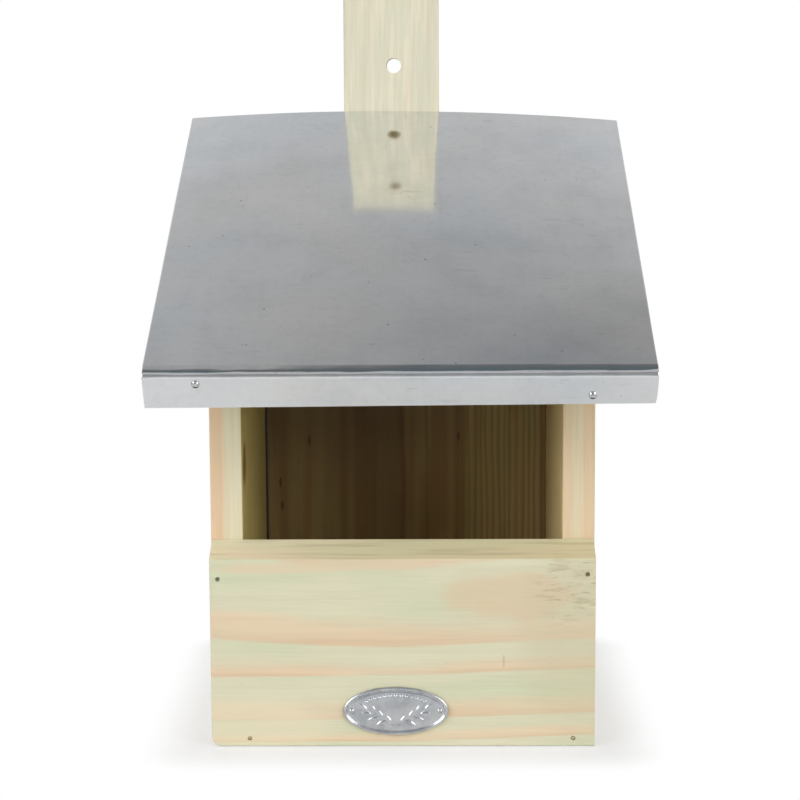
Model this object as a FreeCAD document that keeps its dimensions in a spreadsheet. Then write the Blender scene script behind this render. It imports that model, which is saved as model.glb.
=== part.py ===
import FreeCAD, Part
import math
import os
import re
import Sketcher

# Open-fronted nest box of nailed pine boards under a folded zinc roof.
# X runs to the right, Y towards the wall, Z up. X = 0 is the middle of the box,
# Y = 0 the wall face of the batten and Z = 0 the underside.

driving = {
    # box
    "box_width": 161,             # over the two sides
    "chamber_depth": 117,         # clear depth between front board and back board
    "side_front_height": 174.5,   # underside to roof board, at the front edge of a side
    "side_thickness": 13.5,
    "back_thickness": 13.5,
    "back_gap": 1,                # open joint at the left edge of the back board
    "floor_thickness": 13.5,
    "arris": 0.6,                 # eased edges of the boards
    # front board
    "front_thickness": 13.5,
    "front_inset": 0.5,           # front board stops short of each side's outer face
    "front_height": 80,           # along its front face
    "front_bevel": 23,            # slope of its top edge, in degrees
    "front_corner": 4,            # worn lower left corner
    # drain holes in the floor
    "drain_diameter": 6,
    "drain_inset": 22,            # hole centre to the edges of the floor
    # roof
    "roof_pitch": 27.5,           # degrees
    "roof_thickness": 13.5,
    "roof_front_reach": 39,       # fold line in front of the front board
    "roof_side_reach": 20.3,      # zinc beyond each side
    "zinc_thickness": 0.6,
    "zinc_lip": 16.6,             # front lip at its left end, square to the roof
    "zinc_lip_taper": 1.6,        # less at its right end
    "zinc_side_lip": 15.8,
    "zinc_bend": 3,               # outer radius of the folds
    "zinc_crown": 3.4,            # rise of the rear edge over the line between its corners
    "zinc_spring": 2,             # rear left corner stands off the roof board
    "zinc_rear_gap": 0.3,         # clearance to the batten
    "zinc_seat": 0.05,            # clearance between roof board and folded lips
    # batten
    "batten_width": 45,
    "batten_thickness": 13.5,
    "batten_height": 357,
    "batten_offset": -6,          # middle of the batten from the middle of the box
    "hole_diameter": 7,
    "hole_offset": 1.1,           # hanging holes from the middle of the batten
    "hole_top": 22.5,             # upper hanging hole below the top end
    "hole_spacing": 50,
    # badge
    "badge_width": 44,
    "badge_height": 20.8,
    "badge_thickness": 1.4,
    "badge_rim": 1.5,
    "badge_sink": 0.5,            # field below the rim
    "badge_edge": 0.4,            # sloped edges of the rim
    "badge_offset": -3,
    "badge_rise": 15.5,           # centre above the underside
    "badge_pin_inset": 3.6,       # pin centre from each end
    # nails
    "nail_diameter": 1.4,
    "nail_head": 1.9,
    "nail_head_thickness": 0.8,
    "nail_length": 30,
    "nail_point": 2.5,
    "upper_nail_inset": 3.4,      # from the ends of the front board
    "upper_nail_height": 72.4,
    "upper_nail_skew": 0.9,       # left one lower and right one higher
    "lower_nail_height": 3.4,
    "lower_nail_left_inset": 2.9, # into the floor, from the left side's inner face
    "lower_nail_right_inset": 4, # into the right side, from its inner face
    "floor_nail_margin": 36,      # from the front and rear ends of the floor
    "back_nail_low": 34,
    "back_nail_margin": 34,       # upper nail below the roof
    "back_floor_nail_spread": 45, # either side of the middle
    "roof_nail_margin": 26,       # from the ends of a side's sloping top
    # domed nails in the zinc
    "stud_diameter": 1.6,
    "stud_head": 3.4,
    "stud_dome": 1.1,
    "stud_length": 14,
    "lip_stud_left": 79.8,        # from the middle of the box
    "lip_stud_right": 75.4,
    "lip_stud_left_drop": 5.2,    # below the top of the zinc
    "lip_stud_right_drop": 11.1,
    "side_stud_drop": 7.5,
    "side_stud_margin": 42,       # from the fold and from the rear end
    # pins in the badge
    "pin_diameter": 1.1,
    "pin_head": 2.2,
    "pin_dome": 0.7,
    "pin_length": 9,
    # screws in the batten
    "screw_diameter": 3.5,
    "screw_head": 7,
    "screw_length": 24,
    "screw_point": 5,
    "screw_low": 32,
    "screw_spacing": 80,
}

doc = FreeCAD.newDocument("NestBox")
sheet = doc.addObject("Spreadsheet::Sheet", "Sizes")
for row, (alias, value) in enumerate(driving.items(), start=1):
    sheet.set(f"A{row}", alias)
    sheet.set(f"B{row}", str(value))
    sheet.setAlias(f"B{row}", alias)
doc.recompute()


def formula(text):
    """Write a formula on size names as an expression on the sheet."""
    return re.sub(r"[a-z_]+", lambda word: "Sizes." + word[0] if word[0] in driving else word[0], text)


def number(text):
    return float(sheet.evalExpression(formula(text)))


def bind(item, prop, text):
    item.setExpression(prop, formula(text))


def bind_place(item, x, y, z, prop="Placement"):
    for axis, text in zip("xyz", (x, y, z)):
        bind(item, f"{prop}.Base.{axis}", text)


# Planes and edges that several pieces share, as formulas.
half_width = "(box_width / 2)"
inner_half = "(box_width / 2 - side_thickness)"
rear_plane = "(-batten_thickness)"
chamber_rear = f"({rear_plane} - back_thickness)"
side_front = f"({chamber_rear} - chamber_depth)"
front_face = f"({side_front} - front_thickness)"
side_depth = "(chamber_depth + back_thickness)"
front_half = f"({half_width} - front_inset)"
front_back_height = "(front_height + front_thickness * tan(front_bevel))"
roof_half = f"({half_width} + roof_side_reach)"
zinc_top = "(roof_thickness + zinc_thickness)"


def roof_under(y):
    """Height of the roof board's underside at a given Y."""
    return f"(side_front_height + ({y} - {side_front}) * tan(roof_pitch))"


# In the roof's own axes y climbs the slope from the front edge of the sides and z is square to it.
fold_line = f"((-front_thickness - roof_front_reach + {zinc_top} * sin(roof_pitch)) / cos(roof_pitch))"
slope_length = f"({side_depth} / cos(roof_pitch))"


def plumb_rear(z):
    """Place up the slope where the upright rear plane passes height z over the roof's underside."""
    return f"(({side_depth} + {z} * sin(roof_pitch)) / cos(roof_pitch))"


def new_body(name, on_roof=False):
    body = doc.addObject("PartDesign::Body", name)
    if on_roof:
        body.Placement = FreeCAD.Placement(FreeCAD.Vector(), FreeCAD.Rotation(FreeCAD.Vector(1, 0, 0), 1))
        bind(body, "Placement.Rotation.Angle", "roof_pitch")
        bind_place(body, "0", side_front, "side_front_height")
    return body


def new_sketch(body, plane, name, origin=("0", "0", "0")):
    """Sketch on an origin plane. The origin is moved along the sketch's own x, y and normal."""
    sketch = body.newObject("Sketcher::SketchObject", name)
    support = [item for item in body.Origin.OriginFeatures if item.Role == plane][0]
    sketch.AttachmentSupport = [(support, "")]
    sketch.MapMode = "FlatFace"
    bind_place(sketch, *origin, prop="AttachmentOffset")
    return sketch


def fix_point(sketch, geometry, position, x, y):
    """Hold a point of the sketch at formulas for x and y."""
    for kind, axis, text in (("DistanceX", -2, x), ("DistanceY", -1, y)):
        if text == "0":
            sketch.addConstraint(Sketcher.Constraint("PointOnObject", geometry, position, axis))
            continue
        value = number(text)
        ends = (-1, 1, geometry, position) if value >= 0 else (geometry, position, -1, 1)
        index = sketch.addConstraint(Sketcher.Constraint(kind, *ends, abs(value)))
        bind(sketch, f"Constraints[{index}]", text if value >= 0 else f"-({text})")


def arc_between(start, end, radius, side):
    """Arc from start to end, bulging to the left of that line for side 1 and to the right for -1."""
    chord = end - start
    rise = radius - math.sqrt(radius**2 - chord.Length**2 / 4)
    across = FreeCAD.Vector(-chord.y, chord.x, 0).normalize()
    return Part.Arc(start, (start + end) / 2 + across * rise * side, end)


def outline(sketch, corners, arcs=None):
    """Closed outline through corners of formulas. arcs gives a radius and a side for some edges."""
    points = [FreeCAD.Vector(number(x), number(y), 0) for x, y in corners]
    ends = []
    for index, start in enumerate(points):
        end = points[(index + 1) % len(points)]
        if arcs and index in arcs:
            radius, side = arcs[index]
            edge = sketch.addGeometry(arc_between(start, end, number(radius), side))
            turn = sketch.addConstraint(Sketcher.Constraint("Radius", edge, number(radius)))
            bind(sketch, f"Constraints[{turn}]", radius)
            begins = (sketch.getPoint(edge, 1) - start).Length < (sketch.getPoint(edge, 2) - start).Length
            ends.append((edge, 1, 2) if begins else (edge, 2, 1))
        else:
            ends.append((sketch.addGeometry(Part.LineSegment(start, end)), 1, 2))
    for index, (edge, first, last) in enumerate(ends):
        following, begin, _ = ends[(index + 1) % len(ends)]
        sketch.addConstraint(Sketcher.Constraint("Coincident", edge, last, following, begin))
        fix_point(sketch, edge, first, *corners[index])


def circle(sketch, x, y, diameter):
    place = FreeCAD.Vector(number(x), number(y), 0)
    edge = sketch.addGeometry(Part.Circle(place, FreeCAD.Vector(0, 0, 1), number(diameter) / 2))
    fix_point(sketch, edge, 3, x, y)
    size = sketch.addConstraint(Sketcher.Constraint("Diameter", edge, number(diameter)))
    bind(sketch, f"Constraints[{size}]", diameter)


def ellipse(sketch, width, height):
    """Ellipse about the sketch's origin, wider than it is high."""
    half = FreeCAD.Vector(number(width) / 2, 0, 0)
    top = FreeCAD.Vector(0, number(height) / 2, 0)
    edge = sketch.addGeometry(Part.Ellipse(half, top, FreeCAD.Vector()))
    sketch.exposeInternalGeometry(edge)
    sketch.addConstraint(Sketcher.Constraint("Coincident", edge, 3, -1, 1))
    long_axis, short_axis = edge + 1, edge + 2
    sketch.addConstraint(Sketcher.Constraint("Horizontal", long_axis))
    for axis, size in ((long_axis, width), (short_axis, height)):
        index = sketch.addConstraint(Sketcher.Constraint("Distance", axis, 1, axis, 2, number(size)))
        bind(sketch, f"Constraints[{index}]", size)


def pad(body, sketch, length, symmetric=False):
    feature = body.newObject("PartDesign::Pad", sketch.Name + "_pad")
    feature.Profile = sketch
    feature.SideType = "Symmetric" if symmetric else "One side"
    bind(feature, "Length", length)
    doc.recompute()
    return feature


def cut_through(body, sketch):
    """Cut the sketch right through the body, both ways."""
    before = body.Shape.Volume
    feature = body.newObject("PartDesign::Pocket", sketch.Name + "_cut")
    feature.Profile = sketch
    feature.Type = "ThroughAll"
    feature.SideType = "Symmetric"
    doc.recompute()
    assert feature.Shape.Volume < before, sketch.Name
    return feature


def fillet(body, base, radius, edges):
    feature = body.newObject("PartDesign::Fillet", f"{base.Name}_round")
    feature.Base = (base, edges)
    bind(feature, "Radius", radius)
    doc.recompute()
    return feature


def edges_where(shape, test):
    """Names of the edges whose middle point and direction pass a test."""
    names = []
    for index, edge in enumerate(shape.Edges, start=1):
        first = edge.valueAt(edge.FirstParameter)
        last = edge.valueAt(edge.LastParameter)
        if test((first + last) / 2, last - first):
            names.append(f"Edge{index}")
    return names


def ease(body, base, grain):
    """Ease the planed edges of a board, which run with the grain. Sawn ends stay sharp."""
    planed = edges_where(base.Shape, lambda mid, run: abs(run.dot(grain)) > 0.999 * run.Length > 0)
    return fillet(body, base, "arris", planed)


across = FreeCAD.Vector(1, 0, 0)
upright = FreeCAD.Vector(0, 0, 1)

# Boards: each is an outline padded across its thickness or its width.

def front_blank():
    body = new_body("front_blank")
    sketch = new_sketch(body, "YZ_Plane", "front_section")
    outline(sketch, [
        (front_face, "0"),
        (side_front, "0"),
        (side_front, front_back_height),
        (front_face, "front_height"),
    ])
    block = pad(body, sketch, f"2 * {front_half}", symmetric=True)
    left = -number(front_half)
    corner = edges_where(block.Shape, lambda mid, run: abs(mid.x - left) < 0.1 and abs(mid.z) < 0.1)
    ease(body, fillet(body, block, "front_corner", corner), across)
    return body


def side_blank(name, hand):
    body = new_body(name)
    start = inner_half if hand > 0 else f"(-{half_width})"
    sketch = new_sketch(body, "YZ_Plane", name + "_profile", ("0", "0", start))
    outline(sketch, [
        (side_front, "0"),
        (rear_plane, "0"),
        (rear_plane, roof_under(rear_plane)),
        (side_front, "side_front_height"),
    ])
    ease(body, pad(body, sketch, "side_thickness"), upright)
    return body


def back_blank():
    body = new_body("back_blank")
    sketch = new_sketch(body, "YZ_Plane", "back_section", ("0", "0", f"back_gap - {inner_half}"))
    outline(sketch, [
        (chamber_rear, "0"),
        (rear_plane, "0"),
        (rear_plane, roof_under(rear_plane)),
        (chamber_rear, roof_under(chamber_rear)),
    ])
    ease(body, pad(body, sketch, f"2 * {inner_half} - back_gap"), upright)
    return body


def floor_blank():
    body = new_body("floor_blank")
    sketch = new_sketch(body, "XY_Plane", "floor_outline")
    outline(sketch, [
        (f"-{inner_half}", side_front),
        (inner_half, side_front),
        (inner_half, chamber_rear),
        (f"-{inner_half}", chamber_rear),
    ])
    ease(body, pad(body, sketch, "floor_thickness"), across)
    drains = new_sketch(body, "XY_Plane", "floor_drains")
    for x in (f"drain_inset - {inner_half}", f"{inner_half} - drain_inset"):
        for y in (f"{side_front} + drain_inset", f"{chamber_rear} - drain_inset"):
            circle(drains, x, y, "drain_diameter")
    cut_through(body, drains)
    return body


def roof_blank():
    body = new_body("roof_blank", on_roof=True)
    sketch = new_sketch(body, "YZ_Plane", "roof_section")
    front = f"({fold_line} + zinc_thickness + zinc_seat)"
    outline(sketch, [
        (front, "0"),
        (plumb_rear("0"), "0"),
        (plumb_rear("roof_thickness"), "roof_thickness"),
        (front, "roof_thickness"),
    ])
    width = f"2 * ({roof_half} - zinc_thickness - zinc_seat)"
    block = pad(body, sketch, width, symmetric=True)
    top = number("roof_thickness")
    rear = number(plumb_rear("roof_thickness"))
    folded = edges_where(block.Shape, lambda mid, run: abs(mid.z - top) < 0.1 and mid.y < rear - 1)
    fillet(body, block, "zinc_bend", folded)
    return body


def batten_blank():
    body = new_body("batten_blank")
    sketch = new_sketch(body, "XZ_Plane", "batten_face")
    left = "(batten_offset - batten_width / 2)"
    right = "(batten_offset + batten_width / 2)"
    outline(sketch, [(left, "0"), (right, "0"), (right, "batten_height"), (left, "batten_height")])
    ease(body, pad(body, sketch, "batten_thickness"), upright)
    holes = new_sketch(body, "XZ_Plane", "hanging_holes")
    for drop in ("hole_top", "(hole_top + hole_spacing)"):
        circle(holes, "batten_offset + hole_offset", f"batten_height - {drop}", "hole_diameter")
    cut_through(body, holes)
    return body


# Zinc cover: a channel of sheet over the roof board, flat at the front and crowned at the rear,
# with a front lip across its whole width. The corners between the lips stay open, as folded.

def channel_section(body, name, place, crowned):
    """Closed section of the sheet, square to the slope: side lip, top and side lip."""
    sketch = new_sketch(body, "XZ_Plane", name, ("0", "0", f"-({place})"))
    inside = f"({roof_half} - zinc_thickness)"
    flat = f"({roof_half} - zinc_bend)"
    lower = f"({zinc_top} - zinc_side_lip)"
    bend_start = f"({zinc_top} - zinc_bend)"
    inner_bend = "(zinc_bend - zinc_thickness)"
    spring = "zinc_spring" if crowned else "0"
    arcs = {1: ("zinc_bend", 1), 3: ("zinc_bend", 1), 7: (inner_bend, -1), 9: (inner_bend, -1)}
    if crowned:
        crown_radius = f"({flat}^2 / (2 * zinc_crown) + zinc_crown / 2)"
        arcs[2] = (crown_radius, 1)
        arcs[8] = (crown_radius, -1)
    outline(sketch, [
        (f"-{roof_half}", f"{lower} + {spring}"),
        (f"-{roof_half}", f"{bend_start} + {spring}"),
        (f"-{flat}", f"{zinc_top} + {spring}"),
        (flat, zinc_top),
        (roof_half, bend_start),
        (roof_half, lower),
        (inside, lower),
        (inside, bend_start),
        (flat, "roof_thickness"),
        (f"-{flat}", f"roof_thickness + {spring}"),
        (f"-{inside}", f"{bend_start} + {spring}"),
        (f"-{inside}", f"{lower} + {spring}"),
    ], arcs)
    return sketch


def zinc_blank():
    body = new_body("zinc_blank", on_roof=True)
    bend_end = f"({fold_line} + zinc_bend)"
    crest = f"({zinc_top} + zinc_crown + zinc_spring)"
    front = channel_section(body, "zinc_front_section", bend_end, crowned=False)
    rear = channel_section(body, "zinc_rear_section", plumb_rear(crest), crowned=True)
    loft = body.newObject("PartDesign::AdditiveLoft", "zinc_channel")
    loft.Profile = front
    loft.Sections = [rear]
    loft.Ruled = True
    doc.recompute()
    lip = new_sketch(body, "YZ_Plane", "zinc_lip_section")
    lip_back = f"({fold_line} + zinc_thickness)"
    bend_start = f"({zinc_top} - zinc_bend)"
    lower = f"({zinc_top} - zinc_lip)"
    outline(lip, [
        (bend_end, "roof_thickness"),
        (bend_end, zinc_top),
        (fold_line, bend_start),
        (fold_line, lower),
        (lip_back, lower),
        (lip_back, bend_start),
    ], {1: ("zinc_bend", -1), 5: ("(zinc_bend - zinc_thickness)", 1)})
    pad(body, lip, f"2 * {roof_half}", symmetric=True)
    askew = new_sketch(body, "XZ_Plane", "zinc_lip_askew", ("0", "0", f"-{lip_back}"))
    right_lower = f"({lower} + zinc_lip_taper)"
    outline(askew, [(f"-{roof_half}", lower), (roof_half, lower), (roof_half, right_lower)])
    taper = body.newObject("PartDesign::Pocket", "zinc_lip_askew_cut")
    taper.Profile = askew
    taper.Reversed = True
    bind(taper, "Length", "2 * zinc_thickness")
    doc.recompute()
    trim = new_sketch(body, "YZ_Plane", "zinc_rear_trim")
    below = "(-zinc_side_lip)"
    above = f"({crest} + zinc_crown)"
    clear = "zinc_rear_gap / cos(roof_pitch)"
    beyond = f"({plumb_rear(above)} + roof_thickness)"
    outline(trim, [
        (f"({plumb_rear(below)} - {clear})", below),
        (beyond, below),
        (beyond, above),
        (f"({plumb_rear(above)} - {clear})", above),
    ])
    cut_through(body, trim)
    return body


# Badge: a pressed oval plate with a raised, sloped rim round a plain sunk field.

def badge_blank():
    body = new_body("badge_blank")
    plate = new_sketch(body, "XZ_Plane", "badge_plate", ("badge_offset", "badge_rise", f"-{front_face}"))
    ellipse(plate, "badge_width", "badge_height")
    pad(body, plate, "badge_thickness")
    face = f"(badge_thickness - {front_face})"
    field = new_sketch(body, "XZ_Plane", "badge_field", ("badge_offset", "badge_rise", face))
    ellipse(field, "badge_width - 2 * badge_rim", "badge_height - 2 * badge_rim")
    sunk = body.newObject("PartDesign::Pocket", "badge_field_cut")
    sunk.Profile = field
    bind(sunk, "Length", "badge_sink")
    doc.recompute()
    rim_face = -number(face)
    rim = edges_where(sunk.Shape, lambda mid, run: abs(mid.y - rim_face) < 0.01)
    sloped = body.newObject("PartDesign::Chamfer", "badge_rim_edges")
    sloped.Base = (sunk, rim)
    bind(sloped, "Size", "badge_edge")
    doc.recompute()
    return body


# Fasteners: each is turned from its half section. A section's first value is the depth below the
# surface that the head sits on, and its second the radius there.

nail_section = [
    ("0", "0"),
    ("0", "nail_head / 2"),
    ("nail_head_thickness", "nail_head / 2"),
    ("nail_head_thickness", "nail_diameter / 2"),
    ("nail_length - nail_point", "nail_diameter / 2"),
    ("nail_length", "0"),
]
screw_section = [
    ("0", "0"),
    ("0", "screw_head / 2"),
    ("(screw_head - screw_diameter) / 2", "screw_diameter / 2"),
    ("screw_length - screw_point", "screw_diameter / 2"),
    ("screw_length", "0"),
]


def domed_section(kind):
    return [
        (f"-{kind}_dome", "0"),
        ("0", f"{kind}_head / 2"),
        ("0", f"{kind}_diameter / 2"),
        (f"{kind}_length - {kind}_diameter", f"{kind}_diameter / 2"),
        (f"{kind}_length", "0"),
    ]


def dome_radius(kind):
    return f"((({kind}_head / 2)^2 + {kind}_dome^2) / (2 * {kind}_dome))"


def along_x(x, y, z, drive):
    return "XZ_Plane", (x, z, f"-({y})"), "H_Axis", drive


def along_y(x, y, z, drive):
    return "YZ_Plane", (y, z, x), "H_Axis", drive


def along_z(x, y, z, drive):
    return "YZ_Plane", (y, z, x), "V_Axis", drive


def fasteners(label, section, spots, dome=None, on_roof=False):
    """One body of turned fasteners, each driven along an axis from a spot on a surface."""
    body = new_body(label, on_roof)
    for index, (plane, place, axis, drive) in enumerate(spots, start=1):
        sketch = new_sketch(body, plane, f"{label}_section_{index}", place)
        upright = axis == "V_Axis"
        corners = []
        for depth, radius in section:
            depth = depth if depth == "0" else f"{drive} * ({depth})"
            corners.append((radius, depth) if upright else (depth, radius))
        outline(sketch, corners, {0: (dome, -drive if upright else drive)} if dome else None)
        turn = body.newObject("PartDesign::Revolution", f"{label}_{index}")
        turn.Profile = sketch
        turn.ReferenceAxis = (sketch, [axis])
        doc.recompute()
    assert len(body.Shape.Solids) == len(spots), label
    return body


def both_hands(place):
    """The same spot on the left and on the right."""
    return [place(-1), place(1)]


front_upper_nails = fasteners("front_upper_nails", nail_section, both_hands(lambda hand: along_y(
    f"{hand} * ({front_half} - upper_nail_inset)", front_face,
    f"upper_nail_height + {hand} * upper_nail_skew", 1)))
front_lower_nails = fasteners("front_lower_nails", nail_section, [
    along_y(f"lower_nail_left_inset - {inner_half}", front_face, "lower_nail_height", 1),
    along_y(f"{inner_half} + lower_nail_right_inset", front_face, "lower_nail_height", 1),
])

floor_middle = "floor_thickness / 2"
floor_nail_rows = (f"{side_front} + floor_nail_margin", f"{chamber_rear} - floor_nail_margin")
back_middle = f"{chamber_rear} + back_thickness / 2"
back_nail_top = f"({roof_under(chamber_rear)} - back_nail_margin)"
back_nail_rows = ("back_nail_low", f"(back_nail_low + {back_nail_top}) / 2", back_nail_top)
side_nails = {}
for side, hand in (("left", -1), ("right", 1)):
    face = f"{hand} * {half_width}"
    floor_spots = [along_x(face, y, floor_middle, -hand) for y in floor_nail_rows]
    back_spots = [along_x(face, back_middle, z, -hand) for z in back_nail_rows]
    side_nails[side] = (
        fasteners(f"{side}_floor_nails", nail_section, floor_spots),
        fasteners(f"{side}_back_nails", nail_section, back_spots),
    )
back_floor_nails = fasteners("back_floor_nails", nail_section, both_hands(lambda hand: along_y(
    f"{hand} * back_floor_nail_spread", rear_plane, floor_middle, -1)))

side_middle = f"({half_width} - side_thickness / 2)"
roof_nails = fasteners("roof_nails", nail_section, [
    along_z(f"{hand} * {side_middle}", y, "roof_thickness", -1)
    for hand in (-1, 1)
    for y in ("roof_nail_margin", f"{slope_length} - roof_nail_margin")
], on_roof=True)

stud_section = domed_section("stud")
stud_dome_radius = dome_radius("stud")
zinc_front_nails = fasteners("zinc_front_nails", stud_section, [
    along_y("-lip_stud_left", fold_line, f"{zinc_top} - lip_stud_left_drop", 1),
    along_y("lip_stud_right", fold_line, f"{zinc_top} - lip_stud_right_drop", 1),
], stud_dome_radius, on_roof=True)
zinc_side_nails = fasteners("zinc_side_nails", stud_section, [
    along_x(f"{hand} * {roof_half}", y, f"{zinc_top} - side_stud_drop", -hand)
    for hand in (-1, 1)
    for y in (f"{fold_line} + side_stud_margin", f"{slope_length} - side_stud_margin")
], stud_dome_radius, on_roof=True)

badge_face = f"({front_face} - badge_thickness + badge_sink)"
badge_pins = fasteners("badge_pins", domed_section("pin"), both_hands(lambda hand: along_y(
    f"badge_offset + {hand} * (badge_width / 2 - badge_pin_inset)", badge_face, "badge_rise", 1,
)), dome_radius("pin"))
batten_screws = fasteners("batten_screws", screw_section, [
    along_y("batten_offset", "0", f"screw_low + {step} * screw_spacing", -1) for step in range(3)
])


def nailed(label, blank, groups):
    """Finished piece: its blank with the holes that its fasteners fill."""
    holes = doc.addObject("Part::Compound", label + "_holes")
    holes.Links = groups
    piece = doc.addObject("Part::Cut", label)
    piece.Base = blank
    piece.Tool = holes
    return piece


left_floor_nails, left_back_nails = side_nails["left"]
right_floor_nails, right_back_nails = side_nails["right"]
pieces = [
    nailed("front_board", front_blank(), [front_upper_nails, front_lower_nails, badge_pins]),
    nailed("left_side", side_blank("left_blank", -1),
           [front_upper_nails, left_floor_nails, left_back_nails, roof_nails]),
    nailed("right_side", side_blank("right_blank", 1),
           [front_upper_nails, front_lower_nails, right_floor_nails, right_back_nails, roof_nails]),
    nailed("back_board", back_blank(),
           [left_back_nails, right_back_nails, back_floor_nails, batten_screws]),
    nailed("floor_board", floor_blank(),
           [front_lower_nails, left_floor_nails, right_floor_nails, back_floor_nails]),
    nailed("roof_board", roof_blank(), [roof_nails, zinc_front_nails, zinc_side_nails]),
    nailed("zinc_cover", zinc_blank(), [zinc_front_nails, zinc_side_nails]),
    nailed("mounting_batten", batten_blank(), [batten_screws]),
    nailed("oval_badge", badge_blank(), [badge_pins]),
    front_upper_nails,
    front_lower_nails,
    left_floor_nails,
    right_floor_nails,
    left_back_nails,
    right_back_nails,
    back_floor_nails,
    roof_nails,
    zinc_front_nails,
    zinc_side_nails,
    badge_pins,
    batten_screws,
]
doc.recompute()

for item in doc.Objects:
    if "Invalid" in item.State or "Error" in item.State:
        raise RuntimeError(f"{item.Name} failed: {item.State}")
for piece in pieces:
    if piece.Shape.isNull() or not piece.Shape.isValid():
        raise RuntimeError(f"{piece.Label} has no valid shape")

os.makedirs("parts", exist_ok=True)
for piece in pieces:
    piece.Shape.exportStep(f"parts/{piece.Label}.step")
    print(piece.Label, len(piece.Shape.Solids), "solids", round(piece.Shape.Volume, 1), "mm3")
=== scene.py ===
import bmesh
import bpy
import math
from mathutils import Matrix, Vector


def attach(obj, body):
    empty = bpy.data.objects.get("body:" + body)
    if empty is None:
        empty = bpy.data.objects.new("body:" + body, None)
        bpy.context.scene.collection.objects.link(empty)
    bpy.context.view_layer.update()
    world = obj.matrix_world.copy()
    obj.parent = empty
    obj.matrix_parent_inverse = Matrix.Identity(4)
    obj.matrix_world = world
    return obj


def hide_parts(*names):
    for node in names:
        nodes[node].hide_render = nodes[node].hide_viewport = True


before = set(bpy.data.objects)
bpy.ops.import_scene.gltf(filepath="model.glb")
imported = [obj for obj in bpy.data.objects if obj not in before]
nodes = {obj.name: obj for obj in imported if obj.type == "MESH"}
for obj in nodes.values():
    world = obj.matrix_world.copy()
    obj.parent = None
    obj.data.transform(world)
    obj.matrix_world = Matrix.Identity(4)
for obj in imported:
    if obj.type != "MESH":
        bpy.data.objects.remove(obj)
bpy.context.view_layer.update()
mm = 0.001
hair = 1e-6     # points closer than this are in one place, in m
squarely = 0.9  # a face that looks this far along an axis counts as looking that way
print("frame loaded with", len(nodes), "nodes")


# Shader sums

def mathStep(operation, swapped=False):
    def step(wire, *others):
        values = (wire, *others)
        return wire.sum(operation, *(values[::-1] if swapped else values))
    return step


class Wire:
    # a socket that takes part in sums, and each sum adds a Math node
    def __init__(self, finish, socket):
        self.finish = finish
        self.socket = socket

    def sum(self, operation, *values):
        return self.finish.add("ShaderNodeMath", {"operation": operation}, dict(enumerate(values)))

    __add__, __radd__ = mathStep("ADD"), mathStep("ADD", True)
    __sub__, __rsub__ = mathStep("SUBTRACT"), mathStep("SUBTRACT", True)
    __mul__, __rmul__ = mathStep("MULTIPLY"), mathStep("MULTIPLY", True)
    __truediv__, __pow__, __abs__ = mathStep("DIVIDE"), mathStep("POWER"), mathStep("ABSOLUTE")
    least, most, rest = mathStep("MINIMUM"), mathStep("MAXIMUM"), mathStep("FRACT")

    # the distance that two legs at right angles make
    def span(self, other):
        return (self * self + other * other) ** 0.5


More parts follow.
